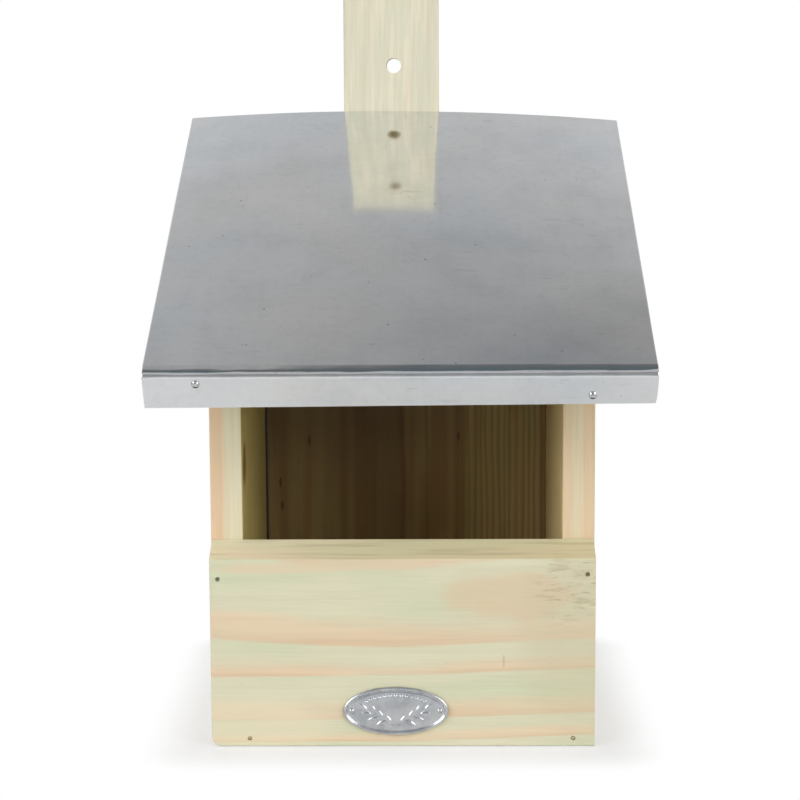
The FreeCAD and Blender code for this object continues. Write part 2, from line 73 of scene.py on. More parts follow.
class Finish:
    def __init__(self, name, owner=None):
        self.owner = owner or bpy.data.materials.new(name)
        self.owner.use_nodes = True
        self.tree = self.owner.node_tree
        self.shader = self.tree.nodes.get("Principled BSDF")

    # any node: its type, its settings, then values or links for its sockets
    def add(self, kind, settings=None, sockets=None, out=0):
        node = self.tree.nodes.new(kind)
        for key, value in (settings or {}).items():
            if key == "stops":
                self.setStops(node.color_ramp, value)
            else:
                setattr(node, key, value)
        for key, value in (sockets or {}).items():
            self.feed(node.inputs[key], value)
        return Wire(self, node.outputs[out])

    def feed(self, socket, value):
        if isinstance(value, Wire):
            self.tree.links.new(value.socket, socket)
        else:
            socket.default_value = value

    def setStops(self, ramp, stops):
        while len(ramp.elements) < len(stops):
            ramp.elements.new(1.0)
        for element, (place, value) in zip(ramp.elements, stops):
            element.position = place
            element.color = value if isinstance(value, tuple) else (value, value, value, 1)

    # object coordinates in millimetres
    def millimetres(self):
        spot = self.add("ShaderNodeTexCoord", out="Object")
        scaled = self.add("ShaderNodeMapping", {}, {"Vector": spot, "Scale": (1000, 1000, 1000)})
        split = self.tree.nodes.new("ShaderNodeSeparateXYZ")
        self.feed(split.inputs[0], scaled)
        return [Wire(self, socket) for socket in split.outputs]

    def ramp(self, value, stops):
        return self.add("ShaderNodeValToRGB", {"stops": stops}, {0: value})

    # a ramp over a measure in its own unit, with stops as (place, value) and, where given, its two ends
    def bands(self, value, stops, ends=None):
        first, last = ends or (stops[0][0], stops[-1][0])
        places = [((at - first) / (last - first), level) for at, level in stops]
        return self.ramp((value - first) / (last - first), places)

    # one part of the object normal: 0, 1 or 2 for x, y or z
    def turned(self, part):
        normal = self.add("ShaderNodeTexCoord", out="Normal")
        return self.add("ShaderNodeSeparateXYZ", {}, {0: normal}, out=part)

    def mix(self, factor, one, other, blend="MIX"):
        settings = {"data_type": "RGBA", "blend_type": blend, "clamp_factor": True}
        return self.add("ShaderNodeMix", settings, {0: factor, 6: one, 7: other}, out=2)

    # 0 below low, 1 above high, smooth between
    def rise(self, value, low, high):
        settings = {"interpolation_type": "SMOOTHSTEP"}
        return self.add("ShaderNodeMapRange", settings, {0: value, 1: low, 2: high, 3: 0.0, 4: 1.0})

    def noise(self, spot, detail=2.0, rough=0.5):
        sockets = {"Vector": spot, "Scale": 1.0, "Detail": detail, "Roughness": rough}
        return self.add("ShaderNodeTexNoise", {}, sockets)

    # noise on a face, drawn out over a width and a height in mm
    def streaks(self, one, other, wide, high, detail=2.0, shift=0.0):
        return self.noise(self.vector(one / wide + shift, 0.0, other / high), detail)

    # noise of one size in mm all round
    def grit(self, spot, size, detail):
        return self.noise(self.vector(*(part / size for part in spot)), detail)

    def vector(self, x, y, z):
        return self.add("ShaderNodeCombineXYZ", {}, {0: x, 1: y, 2: z})

    def bump(self, height, strength, depth):
        return self.add("ShaderNodeBump", {}, {"Height": height, "Strength": strength, "Distance": depth})

    def set(self, **sockets):
        names = {"color": "Base Color", "roughness": "Roughness", "metal": "Metallic", "normal": "Normal",
                 "specular": "Specular IOR Level"}
        for key, value in sockets.items():
            self.feed(self.shader.inputs[names[key]], value)


def shade(red, green, blue):
    # a colour as a screen shows it, turned into the linear values that Blender works in
    straight = []
    for part in (red, green, blue):
        part = part / 255
        straight.append(part / 12.92 if part <= 0.04045 else ((part + 0.055) / 1.055) ** 2.4)
    return (*straight, 1.0)


# Modelling steps that several pieces use

def clear():
    bpy.ops.object.select_all(action="DESELECT")


def shape(kind):
    bpy.ops.object.mode_set(mode="EDIT")
    bpy.ops.mesh.select_mode(type=kind)


def leave():
    bpy.ops.object.mode_set(mode="OBJECT")


# a new mesh from a primitive, opened in edit mode
def begin(name, primitive, kind="FACE", **settings):
    clear()
    primitive(**settings)
    piece = bpy.context.object
    piece.name = name
    shape(kind)
    return piece


# in edit mode: these move, stretch or draw up what is selected
def move(x, y, z):
    bpy.ops.transform.translate(value=(x, y, z))


def stretch(x, y, z, about=(0, 0, 0)):
    bpy.ops.transform.resize(value=(x, y, z), center_override=about)


def drawUp(height, growX=1, growY=1, about=(0, 0, 0)):
    bpy.ops.mesh.extrude_region_move(TRANSFORM_OT_translate={"value": (0, 0, height)})
    stretch(growX, growY, 1, about)


def close(piece, angle=35.0):
    leave()
    bpy.ops.object.shade_smooth_by_angle(angle=math.radians(angle))
    return piece


def only(piece):
    clear()
    piece.select_set(True)
    bpy.context.view_layer.objects.active = piece


# in edit mode: turns all faces outwards
def outwards():
    bpy.ops.mesh.select_all(action="SELECT")
    bpy.ops.mesh.normals_make_consistent(inside=False)


# in edit mode: selects what the test lets through, and nothing else
def pick(piece, kind, test):
    bpy.ops.mesh.select_mode(type={"verts": "VERT", "edges": "EDGE", "faces": "FACE"}[kind])
    bpy.ops.mesh.select_all(action="DESELECT")
    mesh = bmesh.from_edit_mesh(piece.data)
    for part in getattr(mesh, kind):
        if test(part):
            part.select_set(True)
    mesh.select_flush_mode()
    bmesh.update_edit_mesh(piece.data)


def applyAll(piece):
    bpy.context.view_layer.objects.active = piece
    for step in list(piece.modifiers):
        bpy.ops.object.modifier_apply(modifier=step.name)


def thicken(piece, wall):
    walls = piece.modifiers.new("walls", "SOLIDIFY")
    walls.thickness = wall * mm
    walls.offset = -1.0
    applyAll(piece)


# rings drawn up one after another from a disc, each as (radius, height) in mm, closed to a tip at the end
def drawRings(name, rings, sides, tip=None):
    radius, height = rings[0]
    piece = begin(name, bpy.ops.mesh.primitive_circle_add, vertices=sides, radius=radius * mm,
                  fill_type="NGON", location=(0, 0, height * mm))
    for nextRadius, nextHeight in rings[1:]:
        growth = nextRadius / radius
        drawUp((nextHeight - height) * mm, growth, growth)
        radius, height = nextRadius, nextHeight
    if tip is not None:
        drawUp((tip - height) * mm)
        bpy.ops.mesh.merge(type="CENTER")
    outwards()
    close(piece)
    place(piece, Matrix())
    return piece


# puts a piece at its place and leaves that place in its mesh
def place(piece, where):
    only(piece)
    piece.matrix_world = where @ piece.matrix_world
    bpy.ops.object.transform_apply(location=True, rotation=True, scale=True)


def copyOf(model, name, where):
    twin = model.copy()
    twin.data = model.data.copy()
    twin.name = name
    bpy.context.scene.collection.objects.link(twin)
    place(twin, where)
    return twin


def joinTo(main, parts):
    only(main)
    for part in parts:
        part.select_set(True)
    bpy.ops.object.join()


def facing(spot, outward):
    turn = Vector(outward).to_track_quat("Z", "Y").to_matrix().to_4x4()
    return Matrix.Translation(Vector(spot) * mm) @ turn


def keep(piece, node, finish):
    dress(piece, finish)
    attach(piece, "root")
    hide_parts(node)


def dress(piece, finish):
    if not piece.data.materials:
        piece.data.materials.append(None)
    for slot in piece.material_slots:
        slot.material = finish.owner


# Pine: growth rings about a pith line, drawn out along the grain, with treatment green and peach latewood

pineLook = dict(
    green=shade(207, 211, 179), cream=shade(217, 213, 185), peach=shade(225, 203, 172),
    line=shade(212, 184, 150), fleck=shade(120, 92, 58), endTint=shade(214, 196, 160),
    # what only some boards have: a bow of the rings, rings at set places, fine streaks, marks of their own
    seed=0.0, bow=None, edges=None, streaky=None, extras=(),
    spacing=4.2,  # between rings, in mm
    sway=16.0,  # slow wander of the rings, in mm
    ripple=1.4,  # small unevenness of the rings, in mm
    uneven=1.3,  # unevenness of the spacing, in rings
    softness=0.75,  # how far the start of the latewood wanders, in rings
    lateFrom=0.45,  # share of a ring where the latewood starts
    lateFull=0.97,  # and where it is full
    lineFrom=(0.8, 0.95),  # where the line at the ring's end sets in
    ringEnd=(0.965, 1.0),  # and where the ring stops
    strength=0.75,  # how strongly the latewood shows
    lineShare=0.6,  # how strongly the ring's end shows
    patchFrom=(0.35, 0.65),  # patches where the rings are stronger
    latePatch=(0.4, 0.7),  # what such a patch adds to the latewood, and what is there without it
    linePatch=(0.7, 0.3),  # the same for the line
    creamShare=0.5,  # how far the green gives way to cream
    creamReach=0.4,
    creamFrom=(0.62, 0.82),
    tintWide=30.0,  # size of the green and cream patches, across and along the grain, in mm
    tintLong=110.0,
    streakyFrom=(0.48, 0.7),  # for a board with fine streaks in place of rings
    streaks=0.14,  # lighter and darker streaks along the grain
    fibres=0.16,  # and fibres
    fleckFrom=(0.68, 0.78),
    fleckShare=0.22,
    endFrom=(0.75, 0.95),  # how far a face looks along the grain where it counts as a sawn end
    endShare=0.8,
    endRings=0.35,
    roughness=0.72,
    lateGloss=0.1,
    fibreRough=0.12,
    specular=0.32,
    relief=(0.5, 0.3, 0.35),  # raised fibres, streaks and latewood
    bump=(0.55, 0.00022),  # strength of the relief, and its height in m
    # noise layers: size across and along the grain in mm, detail, shift, and roughness of the fibres
    layers={
        "sway": (70, 260, 1.0, 3.1),
        "ripple": (7, 90, 2.0, 7.7),
        "uneven": (26, 400, 1.0, 5.3),
        "soft": (15, 70, 2.0, 19.0),
        "patch": (20, 75, 2.0, 17.0),
        "fibre": (0.7, 22, 3.0, 23.0, 0.6),
        "streak": (2.6, 70, 2.0, 29.0),
        "fleck": (0.9, 9, 2.0, 31.0),
    },
    tintLayer=(2.0, 11.0),  # detail and shift
    streakyLayer=(34, 2.0, 37.0),  # size along the grain, detail and shift
)


# each ring runs from 0 just inside its start to 1 just inside its end
def ringStops(edges, inside=0.004):
    stops = []
    for start, end in zip(edges, edges[1:]):
        for share, value in ((inside, 0.0), (1 - inside, 1.0)):
            stops.append((start + (end - start) * share, value))
    return stops


def pineFinish(name, cut):
    look = {**pineLook, **cut}
    paint = Finish(name)
    x, y, z = paint.millimetres()
    along, across, deep = {"x": (x, z, y), "z": (z, x, y)}[look["grain"]]
    seed = look["seed"]

    def drawn(wide, long, detail, shift, rough=0.5):
        spot = paint.vector(across / wide + (seed + shift), deep / wide, along / long + seed)
        return paint.noise(spot, detail, rough)

    def layer(label):
        return drawn(*look["layers"][label])

    # distance from the pith, with the wander of the rings
    sway = (layer("sway") - 0.5) * look["sway"]
    ripple = (layer("ripple") - 0.5) * look["ripple"]
    side = across - look["pith"][0] + sway
    back = deep - look["pith"][1]
    reach = side.span(back) + ripple
    if look["bow"]:
        reach = reach + look["bow"](paint, (x, y, z))
    if look["edges"]:
        phase = paint.bands(reach, ringStops(look["edges"]), (look["edges"][0], look["edges"][-1]))
    else:
        uneven = (layer("uneven") - 0.5) * look["uneven"]
        phase = (reach / look["spacing"] + uneven).rest()
    ending = 1.0 - paint.rise(phase, *look["ringEnd"])
    if look["streaky"]:
        late = paint.rise(drawn(look["streaky"], *look["streakyLayer"]), *look["streakyFrom"])
    else:
        soft = phase + (layer("soft") - 0.5) * look["softness"]
        late = paint.rise(soft, look["lateFrom"], look["lateFull"]) * ending
    line = paint.rise(phase, *look["lineFrom"]) * ending

    tint = drawn(look["tintWide"], look["tintLong"], *look["tintLayer"])
    tint = paint.rise(tint + look["creamShare"] * look["creamReach"], *look["creamFrom"])
    wood = paint.mix(tint, look["green"], look["cream"])
    patch = paint.rise(layer("patch"), *look["patchFrom"])
    for ring, (more, least), share, color in ((late, look["latePatch"], look["strength"], look["peach"]),
                                              (line, look["linePatch"], look["lineShare"], look["line"])):
        wood = paint.mix(ring * (patch * more + least) * share, wood, color)

    fibre, streak = layer("fibre"), layer("streak")
    tone = (fibre - 0.5) * look["fibres"] + (streak - 0.5) * look["streaks"] + 1.0
    wood = paint.mix(1.0, wood, tone, "MULTIPLY")
    fleck = paint.rise(layer("fleck"), *look["fleckFrom"])
    wood = paint.mix(fleck * look["fleckShare"], wood, look["fleck"])
    for extra in look["extras"]:
        wood = extra(paint, wood, (x, y, z))

    # sawn ends are darker and show the rings more
    ended = paint.rise(abs(paint.turned("xyz".index(look["grain"]))), *look["endFrom"])
    sawn = paint.mix(look["endShare"], wood, look["endTint"], "MULTIPLY")
    sawn = paint.mix(late * look["endRings"], sawn, look["line"])
    wood = paint.mix(ended, wood, sawn)
    raised = look["relief"]
    height = fibre * raised[0] + streak * raised[1] + late * raised[2]
    roughness = look["roughness"] - late * look["lateGloss"] + (fibre - 0.5) * look["fibreRough"]
    paint.set(color=wood, roughness=roughness, specular=look["specular"],
              normal=paint.bump(height, *look["bump"]))
    return paint


# an oval mark on a face, from two coordinates: its middle, its half sizes in mm, how ragged its outline is,
# its strength and its colour
blotLook = dict(wander=0.9, detail=3.0, edge=(0.55, 1.1))


def blot(paint, wood, one, other, at, size, ragged, strength, color):
    look = blotLook
    wide, high = size
    across, up = (one - at[0]) / wide, (other - at[1]) / high
    spot = paint.vector(one / wide * look["wander"], 0.0, other / high * look["wander"])
    wander = paint.noise(spot, look["detail"]) - 0.5
    reach = across.span(up) + wander * ragged
    inside = 1.0 - paint.rise(reach, *look["edge"])
    return paint.mix(inside * strength, wood, color)


# front board: marks on its face, among them painted shade to the right and painted light at the lower left, a
# patch of torn grain, rings that climb, and a sawn bevel
frontLook = dict(
    marks={
        "warm": ((46.0, 64.5), (28.0, 13.0), 1.7, 0.6, shade(218, 194, 161)),
        # painted shade towards the right of the face
        "paintedShadeRight": ((88.0, 45.0), (45.0, 55.0), 0.4, 0.35, shade(200, 188, 155)),
        # painted light at the lower left of the face
        "pale": ((-62.0, 8.0), (34.0, 15.0), 0.6, 0.5, shade(232, 219, 189)),
        "streak": ((-50.0, 76.0), (34.0, 2.6), 0.7, 0.7, shade(225, 205, 174)),
        "lens": ((-52.0, 49.5), (30.0, 5.5), 0.6, 0.3, shade(226, 206, 175)),
        "scratch": ((42.0, 36.5), (0.5, 3.2), 0.3, 0.3, shade(150, 125, 92)),
    },
    tornPlace=(71.0, 67.5), tornReach=(23.0, 21.0), tornEdge=(0.35, 1.0),
    # smudges and dashes: length and height in mm, detail and shift, then where they set in, share and colour
    torn=[((10.0, 2.4, 3.0, 7.0), (0.48, 0.68), 0.4, shade(172, 152, 116)),
          ((6.0, 1.0), (0.55, 0.74), 0.36, pineLook["fleck"])],
    bowHalf=80.0, bowRight=2.7, bowLeftUpper=3.8, bowLeftLower=0.6, bowUpper=(33.0, 41.0),
    bevel=shade(238, 224, 190), bevelRight=shade(219, 209, 166), bevelTurn=(-60.0, 5.0),
    bevelFrom=(0.1, 0.3), bevelFine=(60.0, 0.9), bevelShare=(0.5, 0.35),
    bevelLine=(48.0, 0.75, 2.0, 3.0), bevelLineFrom=(0.48, 0.7), bevelLineShare=0.44,
    bevelLineColor=shade(178, 165, 122),
)


def frontMarks(paint, wood, spot):
    x, y, z = spot
    look = frontLook
    for mark in look["marks"].values():
        wood = blot(paint, wood, x, z, *mark)
    (tornX, tornZ), (wide, high) = look["tornPlace"], look["tornReach"]
    across, up = (x - tornX) / wide, (z - tornZ) / high
    near = 1.0 - paint.rise(across.span(up), *look["tornEdge"])
    for streak, start, share, color in look["torn"]:
        torn = paint.rise(paint.streaks(x, z, *streak), *start)
        wood = paint.mix(torn * near * share, wood, color)
    return wood


# the rings climb to the right, and the one under the plain upper part climbs to the left as well
def frontBow(paint, spot):
    x, y, z = spot
    look = frontLook
    right, left = (x / look["bowHalf"]).most(0.0), (x / -look["bowHalf"]).most(0.0)
    upper = paint.rise(z, *look["bowUpper"])
    climb = right * look["bowRight"] + left * left * upper * look["bowLeftUpper"]
    return climb - left * (1.0 - upper) * look["bowLeftLower"]


# the sawn bevel is yellower than the planed face, and lined
def bevelTone(paint, wood, spot):
    x, y, z = spot
    look = frontLook
    sawn = paint.rise(paint.turned(2), *look["bevelFrom"])
    tone = paint.mix(paint.rise(x, *look["bevelTurn"]), look["bevel"], look["bevelRight"])
    more, least = look["bevelShare"]
    wood = paint.mix(sawn * (paint.streaks(x, z, *look["bevelFine"]) * more + least), wood, tone)
    line = paint.rise(paint.streaks(x, z, *look["bevelLine"]), *look["bevelLineFrom"])
    return paint.mix(sawn * line * look["bevelLineShare"], wood, look["bevelLineColor"])


# the sides: front edges in bands of peach and cream, olive inner faces, a brown streak inside on the left,
# and painted shade in the open gap beside the back
sideLook = dict(
    inner={"left": (1.0, shade(240, 228, 170), "MULTIPLY"), "right": (0.6, shade(255, 222, 146), "MIX")},
    inward=(-0.01, 0.3, 0.5),  # scale of x, and where a face looks inwards
    outer={"left": [(-81, 1.0), (-75.4, 0.92), (-73.4, 0.1), (-66, 0.0)],
           "right": [(66, 0.9), (70.5, 0.7), (72.2, 0.15), (74.6, 0.2), (76.2, 0.9), (81, 1.0)]},
    peach=shade(233, 197, 159),
    cream=shade(229, 220, 189),
    wander=(9.0, 45.0), wanderBy=4.0,  # of the bands, in mm
    streak=(1.3, 38.0, 2.0, 5.0), streakBy=0.3,
    frontFrom=(0.6, 0.9), frontShare=0.7,
    joint=shade(70, 40, 18), jointFrom=(-27.5, -26.8),  # painted shade inside the open gap beside the back
    resin=((-133.0, 115.5), (7.5, 11.0), 0.5, 0.75, shade(120, 62, 28)),
)


def sideTones(hand):
    look = sideLook

    def tones(paint, wood, spot):
        x, y, z = spot
        scale, low, high = look["inward"]
        inward = paint.rise(paint.turned(0) * x * scale, low, high)
        share, tint, blend = look["inner"][hand]
        wood = paint.mix(inward * share, wood, tint, blend)
        if hand == "left":
            wood = paint.mix(inward, wood, blot(paint, wood, y, z, *look["resin"]))
            # painted shade inside the open gap beside the back
            wood = paint.mix(inward * paint.rise(y, *look["jointFrom"]), wood, look["joint"])
        wander = (paint.streaks(x, z, *look["wander"]) - 0.5) * look["wanderBy"]
        banded = paint.mix(paint.bands(x + wander, look["outer"][hand]), look["cream"], look["peach"])
        streak = (paint.streaks(x, z, *look["streak"]) - 0.5) * look["streakBy"] + 1.0
        banded = paint.mix(1.0, banded, streak, "MULTIPLY")
        forward = paint.rise(paint.turned(1) * -1.0, *look["frontFrom"])
        return paint.mix(forward * look["frontShare"], wood, banded)
    return tones


# the back of the chamber: soft bands, dark heartwood in its middle, fine rings to the right, dark flecks,
# painted light at its lower left and painted shade at its top under the roof
backLook = dict(
    flecks=[(-46.0, 107.2), (-60.0, 87.0), (-59.3, 75.6), (25.2, 109.2)],
    fleck=((0.8, 2.8), 0.9, 0.6, shade(70, 45, 24)),
    zones=[(-66, 0.5), (-40, 0.54), (-38.5, 0.7), (-20, 0.8), (-3.5, 0.82), (-1.5, 1.0), (0.5, 0.5),
           (9.0, 0.42), (10.3, 0.75), (11.5, 0.25), (23.5, 0.2), (24.6, 0.5), (26, 0.12), (66, 0.0)],
    inner=shade(224, 203, 170), heart=shade(130, 105, 82), brown=shade(158, 128, 90),
    inwardFrom=(0.3, 0.6),
    wander=(14.0, 60.0), wanderBy=4.0,  # of the zones, in mm
    band=(8.0, 170.0, 1.0), bandFrom=(0.42, 0.62), bandShare=0.75,
    rings=shade(116, 90, 54), ringsFrom=(20.0, 33.0), pitch=2.9, ringWander=0.7,
    ringRise=(0.2, 0.85), ringFall=(0.85, 1.0), ringLeast=0.04,
    uneven=(6.0, 110.0, 1.0), unevenBy=2.6,  # of the rings, in mm
    faint=(3.0, 50.0, 1.0), faintShare=(0.5, 0.12),
    # painted light low on the left: where the heartwood shows less
    paintedLightBelow=(66.0, 108.0), paintedLightLeft=(-30.0, 5.0), paintedLightShare=0.45,
    # painted shade of the roof at the top, away from the right
    paintedShadeAbove=(95.0, 122.0), paintedShadeLeft=(20.0, 42.0), paintedShadeShare=0.25,
    offset=100.0,  # rings, which keeps their count above 0
)


def backMarks(paint, wood, spot):
    x, y, z = spot
    look = backLook
    plain = wood
    inward = paint.rise(paint.turned(1) * -1.0, *look["inwardFrom"])
    wood = paint.mix(1.0, wood, look["inner"], "MULTIPLY")
    band = paint.rise(paint.streaks(x, z, *look["band"]), *look["bandFrom"])
    wood = paint.mix(band * look["bandShare"], wood, look["brown"])
    wander = (paint.streaks(x, z, *look["wander"]) - 0.5) * look["wanderBy"]
    uneven = paint.streaks(x, z, *look["uneven"]) * look["unevenBy"]
    phase = ((x + wander * look["ringWander"] + uneven) / look["pitch"] + look["offset"]).rest()
    line = paint.rise(phase, *look["ringRise"]) * (1.0 - paint.rise(phase, *look["ringFall"]))
    more, least = look["faintShare"]
    faint = paint.streaks(x, z, *look["faint"]) * more + least
    line = line * (paint.rise(x, *look["ringsFrom"]) * faint + look["ringLeast"])
    wood = paint.mix(line, wood, look["rings"])
    heart = paint.bands(x + wander, look["zones"])
    # painted light: the heartwood shows less low on the left
    low = (1.0 - paint.rise(z, *look["paintedLightBelow"])) * (1.0 - paint.rise(x, *look["paintedLightLeft"]))
    wood = paint.mix(heart * (1.0 - low * look["paintedLightShare"]), wood, look["heart"])
    for at in look["flecks"]:
        wood = blot(paint, wood, x, z, at, *look["fleck"])
    # painted shade of the roof: darker at the top, away from the right
    high = paint.rise(z, *look["paintedShadeAbove"]) * (1.0 - paint.rise(x, *look["paintedShadeLeft"]))
    wood = paint.mix(1.0, wood, 1.0 - high * look["paintedShadeShare"], "MULTIPLY")
    return paint.mix(inward, plain, wood)


sideCut = dict(grain="z", sway=22.0, strength=0.8, lineShare=0.45, creamShare=0.8)
boardCuts = {
    "front_board": dict(grain="x", pith=(88.0, -127.0), edges=[14, 33.0, 55.2, 65.4, 82.4, 91.2, 112.0],
                        sway=2.5, ripple=1.6, bow=frontBow, seed=1.7, creamShare=0.7,
                        lateFrom=0.42, lateFull=0.86, strength=0.95, extras=[frontMarks, bevelTone]),
    "left_side": dict(sideCut, pith=(-96.0, -175.0), seed=4.1, extras=[sideTones("left")],
                      edges=[16, 37, 49, 66, 74, 93, 111, 118, 139, 151, 180]),
    "right_side": dict(sideCut, pith=(98.0, -120.0), seed=9.4, extras=[sideTones("right")],
                       edges=[4, 24, 35, 52, 60, 79, 97, 105, 135]),
    "back_board": dict(grain="z", pith=(-16.0, -2.0), spacing=11.0, sway=24.0, seed=2.6,
                       strength=0.4, lineShare=0.15, creamShare=0.6, extras=[backMarks]),
    "floor_board": dict(grain="x", pith=(-30.0, -70.0), spacing=3.6, seed=6.2),
    "roof_board": dict(grain="x", pith=(130.0, -60.0), spacing=4.6, seed=8.8),
    "mounting_batten": dict(grain="z", pith=(30.0, 26.0), spacing=3.4, seed=12.5, strength=0.55,
                            lineShare=0.12, streaks=0.2, creamShare=0.45, streaky=1.7,
                            tintWide=2.8, tintLong=40, green=shade(219, 216, 192),
                            cream=shade(229, 222, 199), peach=shade(224, 210, 185)),
}
for label, cut in boardCuts.items():
    dress(nodes[label], pineFinish("pine_" + label, cut))
print("pine finishes set on", len(boardCuts), "boards")


# Bright zinc: faint rolling lines, blotches, smears, short scratches and specks

zincLook = dict(
    metal=shade(238, 240, 242), dull=shade(222, 226, 230), cool=shade(228, 235, 244),
    warm=shade(240, 238, 231), stain=shade(146, 148, 148), bright=shade(250, 250, 250),
    # noise layers: size across and down the sheet in mm, detail, roughness and shift
    layers={
        "blotch": (30, 30, 4.0, 0.6, 0.0),
        "tint": (75, 60, 2.0, 0.5, 4.0),
        "rolled": (1.4, 300, 2.0, 0.5, 0.0),
        "mottle": (3.5, 3.0, 2.0, 0.6, 9.0),
        "smear": (13, 3.2, 3.0, 0.6, 2.0),
        "smearPlace": (40, 34, 1.0, 0.5, 6.0),
        "mark": (8, 0.8, 2.0, 0.4, 0.0),
        "markPlace": (25, 22, 1.0, 0.5, 0.0),
        "shine": (7, 0.7, 2.0, 0.4, 12.0),
        "shinePlace": (30, 26, 1.0, 0.5, 15.0),
        "speck": (2.6, 2.6, 1.0, 0.5, 0.0),
    },
    # where a layer sets in
    starts={
        "blotch": (0.4, 0.75), "warm": (0.5, 0.7), "cool": (0.34, 0.52), "mottle": (0.45, 0.75),
        "rolled": (0.4, 0.8), "smear": (0.6, 0.76), "smearPlace": (0.45, 0.6), "mark": (0.66, 0.74),
        "markPlace": (0.5, 0.64), "shine": (0.69, 0.75), "shinePlace": (0.52, 0.64), "speck": (0.765, 0.805),
    },
    # how strongly it colours the metal
    share={"blotch": 0.7, "warm": 0.35, "cool": 0.35, "mottle": 0.06, "rolled": 0.025, "smear": 0.13,
           "mark": 0.25, "shine": 0.5, "speck": 0.6},
    roughness=0.055, blotchRough=0.06, markRough=0.08,
    relief={"rolled": 0.003, "mark": 0.006, "mottle": 0.001},
    bump=(0.25, 0.0012),
)


def zincFinish(name):
    look = zincLook
    paint = Finish(name)
    x, y, z = paint.millimetres()

    def layer(label):
        wide, deep, detail, rough, shift = look["layers"][label]
        return paint.noise(paint.vector(x / wide + shift, y / deep, z / deep), detail, rough)

    def above(label, value):
        return paint.rise(value, *look["starts"][label])

    # marks that stand only in some places
    def placed(label):
        return above(label, layer(label)) * above(label + "Place", layer(label + "Place"))

    blotch, tint, rolled, mottle = (layer(label) for label in ("blotch", "tint", "rolled", "mottle"))
    smear, mark, shine = (placed(label) for label in ("smear", "mark", "shine"))
    color = look["metal"]
    for label, tone, shown in (
        ("blotch", look["dull"], above("blotch", blotch)),
        ("warm", look["warm"], above("warm", tint)),
        ("cool", look["cool"], 1.0 - above("cool", tint)),
        ("mottle", look["stain"], above("mottle", mottle)),
        ("rolled", look["stain"], above("rolled", rolled)),
        ("smear", look["stain"], smear),
        ("mark", look["stain"], mark),
        ("shine", look["bright"], shine),
        ("speck", look["stain"], above("speck", layer("speck"))),
    ):
        color = paint.mix(shown * look["share"][label], color, tone)
    raised = look["relief"]
    height = rolled * raised["rolled"] + mark * raised["mark"] + mottle * raised["mottle"]
    roughness = look["roughness"] + blotch * look["blotchRough"] + (mark + smear) * look["markRough"]
    paint.set(color=color, metal=1.0, roughness=roughness, normal=paint.bump(height, *look["bump"]))
    return paint


# Plated nails, pins and screws, grimy, with painted shade where they look down
nailLook = dict(
    kinds={"bright": (shade(214, 215, 217), 0.06),  # colour and roughness
           "dark": (shade(150, 148, 116), 0.45),
           "pale": (shade(214, 204, 168), 0.5)},
    grain=0.9, detail=3.0,
    grime=shade(120, 112, 100), grimeFrom=(0.45, 0.75), grimeShare=0.6, grimeRough=0.2,
    # painted shade on the faces that look down: its colour, where it sets in, its share, and its wander with
    # the grime
    under=shade(46, 42, 38), underFrom=(0.5, 0.68), underShare=0.92, underWander=0.4,
    bump=(0.2, 0.00005),
)


def nailFinish(name, color, roughness):
    look = nailLook
    paint = Finish(name)
    grime = paint.grit(paint.millimetres(), look["grain"], look["detail"])
    tone = paint.mix(paint.rise(grime, *look["grimeFrom"]) * look["grimeShare"], color, look["grime"])
    # painted shade: darker where the face looks down
    down = paint.turned(2) * -1.0 + (grime - 0.5) * look["underWander"]
    tone = paint.mix(paint.rise(down, *look["underFrom"]) * look["underShare"], tone, look["under"])
    paint.set(color=tone, metal=1.0, roughness=roughness + grime * look["grimeRough"],
              normal=paint.bump(grime, *look["bump"]))
    return paint


# the pressed plate of the badge, stippled and a little clouded
plateLook = dict(
    pale=shade(216, 219, 225), dull=shade(194, 198, 206),
    cloud=(5.0, 3.0), cloudFrom=(0.35, 0.7), stipple=(0.35, 2.0),  # size in mm, and detail
    roughness=0.2, cloudRough=0.12, bump=(0.25, 0.00006),
)


def plateFinish(name):
    look = plateLook
    paint = Finish(name)
    spot = paint.millimetres()
    stipple, cloud = paint.grit(spot, *look["stipple"]), paint.grit(spot, *look["cloud"])
    tone = paint.mix(paint.rise(cloud, *look["cloudFrom"]), look["pale"], look["dull"])
    paint.set(color=tone, metal=1.0, roughness=look["roughness"] + cloud * look["cloudRough"],
              normal=paint.bump(stipple, *look["bump"]))
    return paint


zinc = zincFinish("zinc_sheet")
nailFinishes = {kind: nailFinish("nail_" + kind, *values) for kind, values in nailLook["kinds"].items()}
plate = plateFinish("pressed_plate")
dress(nodes["zinc_cover"], zinc)
dress(nodes["oval_badge"], plate)
brightNodes = ("zinc_front_nails", "zinc_side_nails", "badge_pins", "batten_screws")
for label, node in nodes.items():
    if label not in boardCuts and label not in ("zinc_cover", "oval_badge"):
        dress(node, nailFinishes["bright" if label in brightNodes else "dark"])
print("metal finishes set")


# Zinc cover: a box open below and behind, folded edges rounded, crowned towards the rear

sheetLook = dict(
    half=100.82, slope=216.0, pitch=27.5, fold=(-196.47, 163.08), rear=-13.85,
    lip=15.95, lipSkew={-1: 0.8, 1: -0.8}, lipRows=(0.4, 0.6, 0.8),
    bend=3.0, reach=(5.2, 2.75), steps=8,  # the fold, drawn out up the roof and on the lip
    sideBend=0.4, sideSteps=2, besideFold=0.3,
    columns=48, rows=44, crown=3.4, spring=2.0, run=208.0,
    uneven=0.12, unevenPart=0.95, unevenSeed=4,  # of the fold, which stops short of its ends
    dents=0.3, dentSize=0.055, dentLevel=0.6, thick=0.45,
    corners={-1: 0.05, 1: 0.45}, cornerReach=1.3,
    cornerRows=((-0.9, 1.0), (-0.7, 0.3)),  # height on the lip, and share of the inset
)


